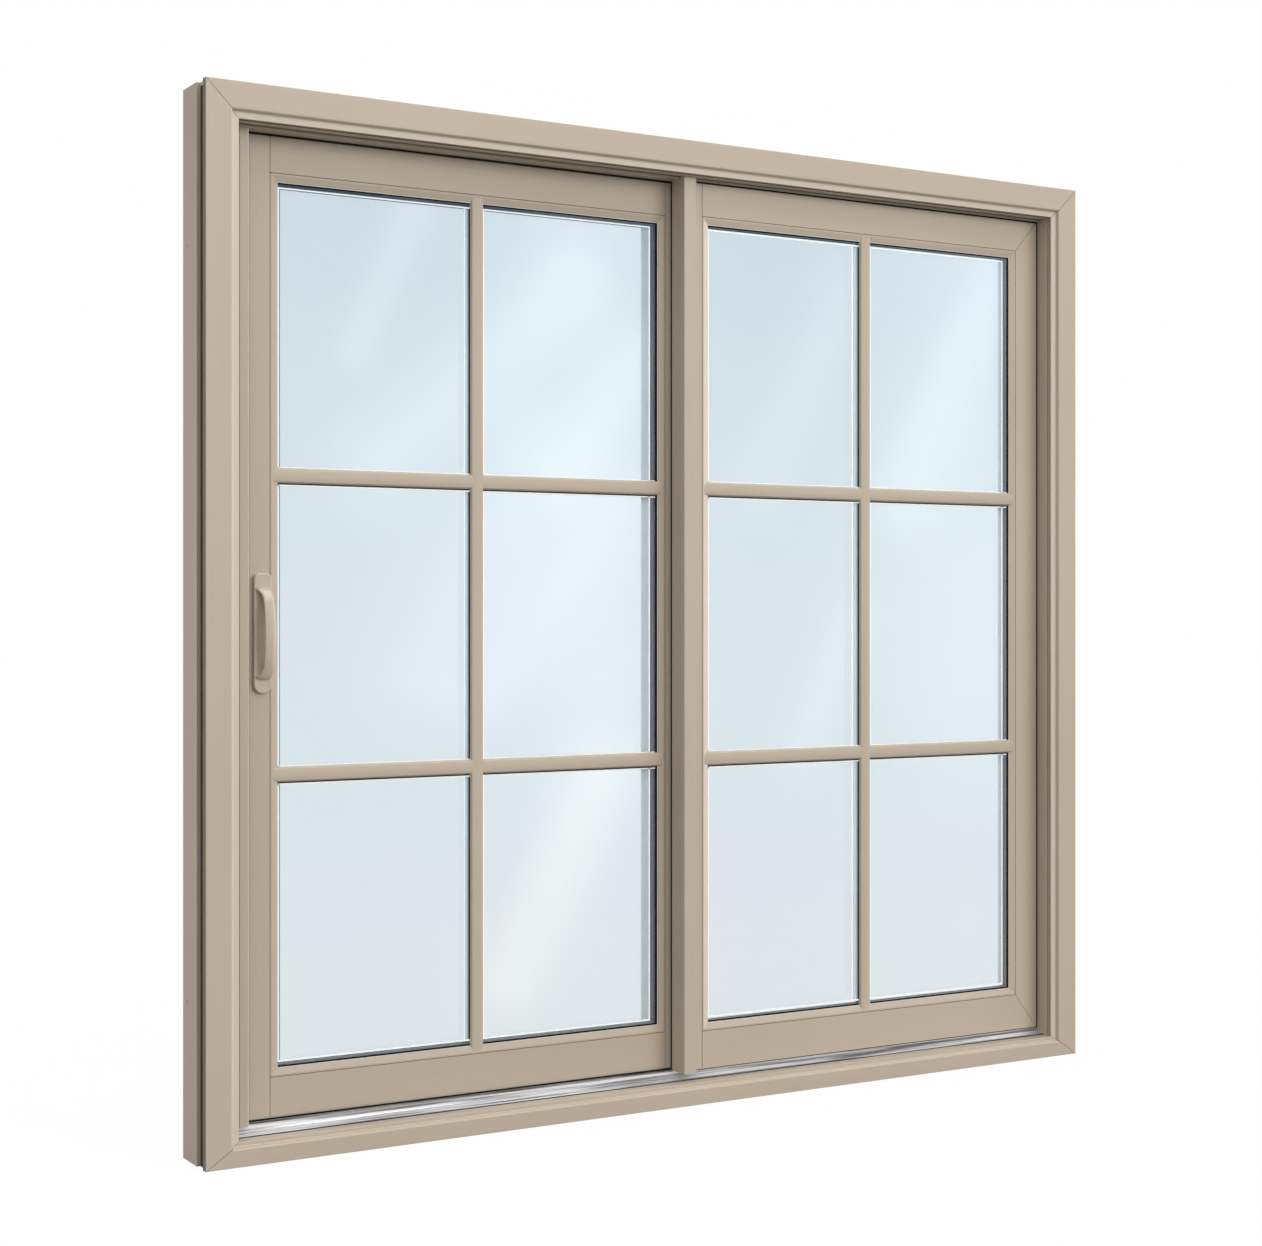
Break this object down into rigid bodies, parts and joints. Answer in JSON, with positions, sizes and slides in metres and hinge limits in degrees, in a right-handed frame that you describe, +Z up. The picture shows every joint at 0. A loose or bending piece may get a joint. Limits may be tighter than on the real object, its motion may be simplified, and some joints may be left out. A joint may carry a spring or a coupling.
{
  "type": "glass sliding patio door",
  "caption": "Tan framed sliding patio door: a fixed glazed panel and a sliding glazed panel with glazing bars, in a cased frame with a metal sill track and a bow pull handle.",
  "frame": {"origin": "middle of the sill's flat underside, half way along the door and half way through the frame's depth", "axes": "+X along the door to the right as seen from outside, +Y into the building, +Z up"},
  "size_m": [2.134, 0.1559, 2.032],
  "materials": {
    "cladding": "satin tan finish",
    "track": "mill finish, drawn lengthwise",
    "glass": "clear, faintly blue",
    "spacer": "dark matt",
    "handle": "satin tan paint",
    "lock_metal": "brushed",
    "roller": "matt"
  },
  "bodies": {
    "frame": {"head_jamb": "cladding", "left_jamb": "cladding", "right_jamb": "cladding", "lock_jamb_stop": "cladding", "sill_back_stop": "cladding", "sill": "cladding", "head_casing": "cladding", "left_casing": "cladding", "right_casing": "cladding", "sill_casing": "cladding", "sill_track": "track", "jamb_cover": "cladding", "strike_plate": "lock_metal", "fixed_meeting_stile": "cladding", "fixed_jamb_stile": "cladding", "fixed_bead_bottom": "cladding", "fixed_bead_left": "cladding", "fixed_bead_right": "cladding", "fixed_bead_top": "cladding", "fixed_bottom_rail": "cladding", "fixed_cross_bars": "cladding", "fixed_glass_inner": "glass", "fixed_glass_outer": "glass", "fixed_spacer": "spacer", "fixed_top_rail": "cladding", "fixed_upright_bars": "cladding"},
    "sliding_panel": {"sliding_lock_stile": "cladding", "sliding_interlock_stile": "cladding", "sliding_bead_bottom": "cladding", "sliding_bead_left": "cladding", "sliding_bead_right": "cladding", "sliding_bead_top": "cladding", "sliding_bottom_rail": "cladding", "sliding_cross_bars": "cladding", "sliding_glass_inner": "glass", "sliding_glass_outer": "glass", "sliding_spacer": "spacer", "sliding_top_rail": "cladding", "sliding_upright_bars": "cladding", "lock_plate": "lock_metal", "rollers": "roller", "exterior_handle": "handle", "interior_handle": "handle"}
  },
  "joints": [
    {"name": "panel_slide", "type": "slide", "parent": "frame", "child": "sliding_panel", "axis": [1, 0, 0], "range_m": [0, 0.88]}
  ]
}
